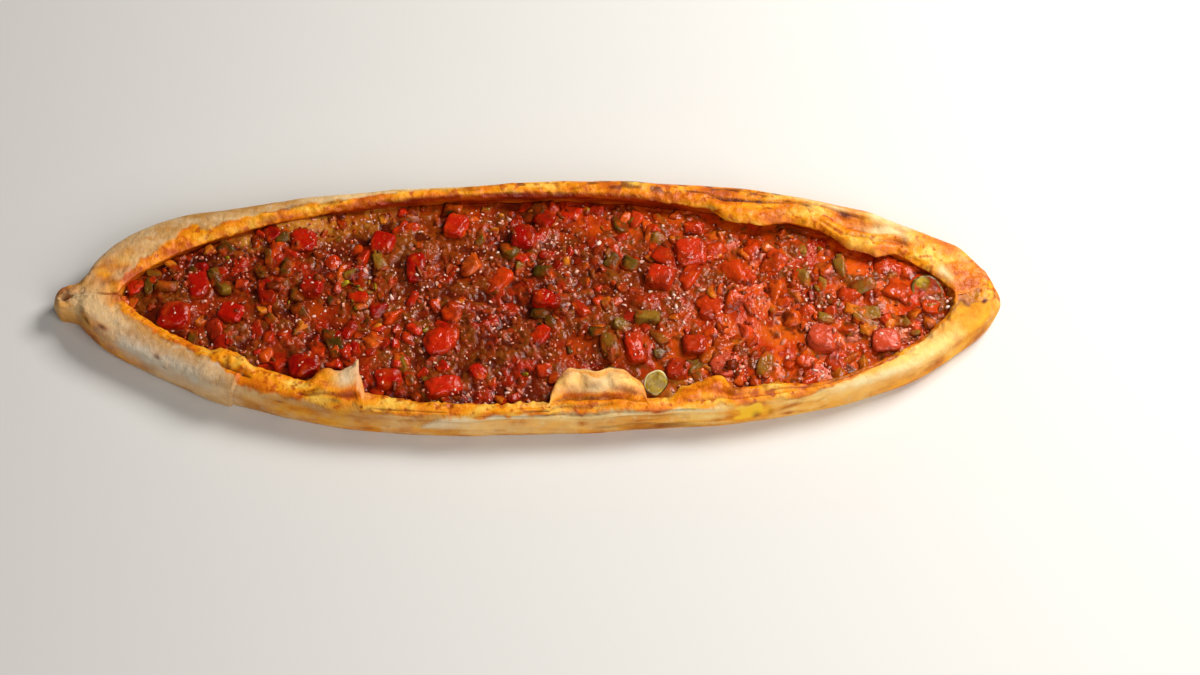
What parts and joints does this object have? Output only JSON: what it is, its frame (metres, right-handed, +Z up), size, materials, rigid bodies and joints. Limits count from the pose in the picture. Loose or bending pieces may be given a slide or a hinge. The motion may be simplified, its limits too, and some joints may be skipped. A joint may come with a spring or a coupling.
{
  "type": "turkish pide",
  "caption": "Boat-shaped baked flatbread with folded rim and pinched ends, filled with a moist heap of diced red pepper, tomato, green pepper and minced meat.",
  "frame": {"origin": "centre of the flat base of the bread, on the surface it lies on", "axes": "+X along the length towards the broad folded end, the pinched knob at -X; +Y towards the back edge with the doubled fold; +Z up out of the filling"},
  "size_m": [0.4, 0.1197, 0.0199],
  "materials": {
    "baked_dough": "baked dough: pale flour-dusted outside, orange oil-stained rim",
    "filling_mince": "moist crumbly mince in red juice, many small glints",
    "red_pepper_flesh": "wet cooked red pepper",
    "tomato_flesh": "wet cooked tomato, paler than the pepper",
    "green_pepper_flesh": "cooked green pepper, olive with a darker skin"
  },
  "bodies": {
    "root": {"crust": "baked_dough", "filling": "filling_mince", "red_pepper_01": "red_pepper_flesh", "red_pepper_02": "red_pepper_flesh", "red_pepper_03": "red_pepper_flesh", "red_pepper_04": "red_pepper_flesh", "red_pepper_05": "red_pepper_flesh", "red_pepper_06": "red_pepper_flesh", "red_pepper_07": "red_pepper_flesh", "red_pepper_08": "red_pepper_flesh", "red_pepper_09": "red_pepper_flesh", "red_pepper_10": "red_pepper_flesh", "red_pepper_11": "red_pepper_flesh", "red_pepper_12": "red_pepper_flesh", "red_pepper_13": "red_pepper_flesh", "red_pepper_14": "red_pepper_flesh", "red_pepper_15": "red_pepper_flesh", "red_pepper_16": "red_pepper_flesh", "red_pepper_17": "red_pepper_flesh", "red_pepper_18": "red_pepper_flesh", "red_pepper_19": "red_pepper_flesh", "tomato_01": "tomato_flesh", "tomato_02": "tomato_flesh", "tomato_03": "tomato_flesh", "green_pepper_01": "green_pepper_flesh", "green_pepper_02": "green_pepper_flesh", "pepper_slice_01": "green_pepper_flesh", "pepper_slice_02": "green_pepper_flesh"}
  },
  "joints": []
}
